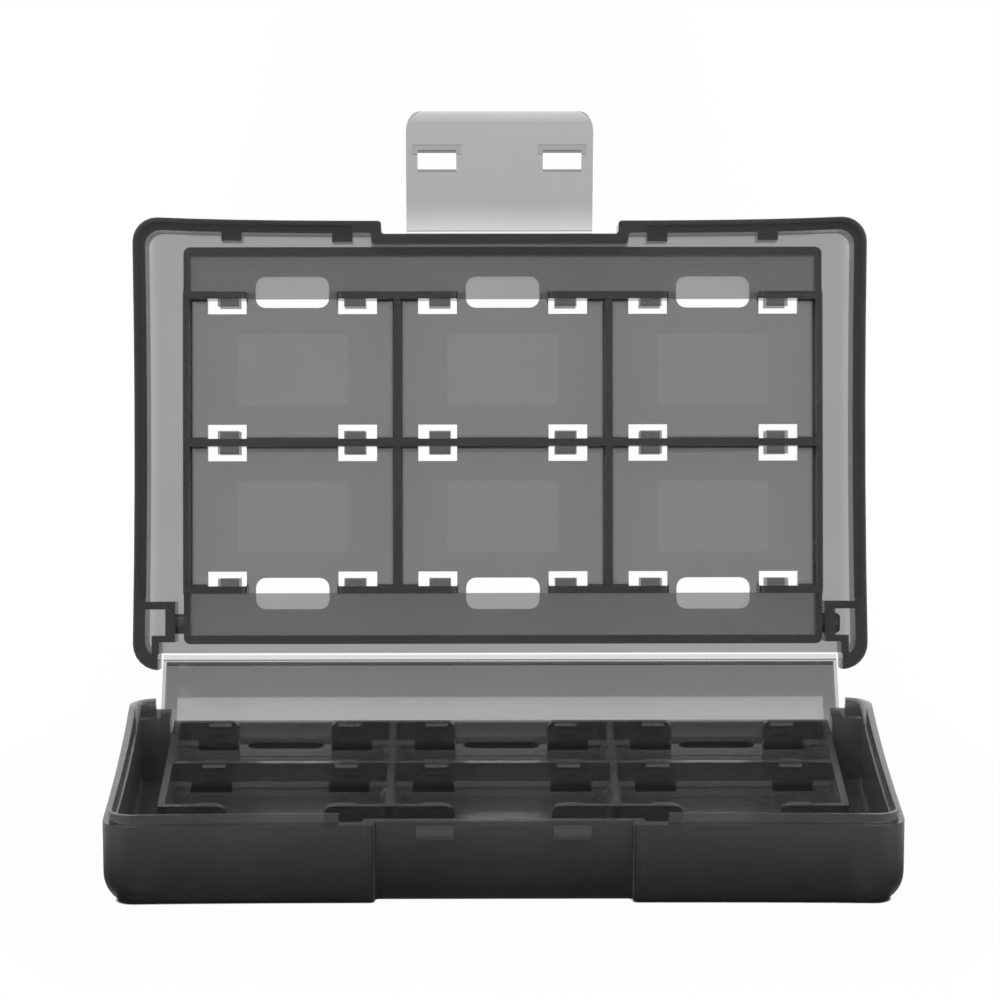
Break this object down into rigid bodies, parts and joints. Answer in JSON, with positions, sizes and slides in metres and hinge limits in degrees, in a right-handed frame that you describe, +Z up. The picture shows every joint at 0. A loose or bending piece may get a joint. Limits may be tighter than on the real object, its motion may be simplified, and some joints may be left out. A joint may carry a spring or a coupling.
{
  "type": "game card case",
  "caption": "Pocket case of smoky plastic for game cards: two shallow shells on a spine with film hinges, a latch flap and a two-sided swing tray in each shell.",
  "frame": {"origin": "centre of the case's bounding box in plan, at the level of the base shell's flat underside", "axes": "+X along the hinge lines, to the right as seen from the front; +Y from the latch side of the base towards the hinge; +Z up"},
  "size_m": [0.115, 0.1034, 0.0994],
  "materials": {
    "shell_plastic": "smooth, smoky and see-through",
    "tray_plastic": "smooth, smoky and see-through",
    "film_plastic": "smooth and nearly clear, because the same plastic is very thin there"
  },
  "bodies": {
    "base": {"base_shell": "shell_plastic", "base_hinge_film": "film_plastic"},
    "spine": {"spine_panel": "shell_plastic", "lid_hinge_film": "film_plastic"},
    "lid": {"lid_shell": "shell_plastic", "latch_hinge_film": "film_plastic"},
    "latch": {"latch_flap": "shell_plastic"},
    "base_tray": {"base_tray": "tray_plastic"},
    "lid_tray": {"lid_tray": "tray_plastic"}
  },
  "joints": [
    {"name": "base_hinge", "type": "hinge", "parent": "base", "child": "spine", "pos_m": [0, 0.01734, 0.00017], "axis": [-1, 0, 0], "range_deg": [-53.6, 36.4], "deforming": ["base_hinge_film"]},
    {"name": "lid_hinge", "type": "hinge", "parent": "spine", "child": "lid", "pos_m": [0, 0.03581, 0.01379], "axis": [-1, 0, 0], "range_deg": [-49.7, 40.3], "deforming": ["lid_hinge_film"]},
    {"name": "latch_hinge", "type": "hinge", "parent": "lid", "child": "latch", "pos_m": [0, 0.05123, 0.07901], "axis": [-1, 0, 0], "range_deg": [-61.5, 58.5], "deforming": ["latch_hinge_film"]},
    {"name": "base_tray_pivot", "type": "hinge", "parent": "base", "child": "base_tray", "pos_m": [0, 0.01197, 0.00643], "axis": [-1, 0, 0], "range_deg": [0, 100]},
    {"name": "lid_tray_pivot", "type": "hinge", "parent": "lid", "child": "lid_tray", "pos_m": [0.00045, 0.03096, 0.02046], "axis": [1, 0, 0], "range_deg": [0, 100]}
  ]
}
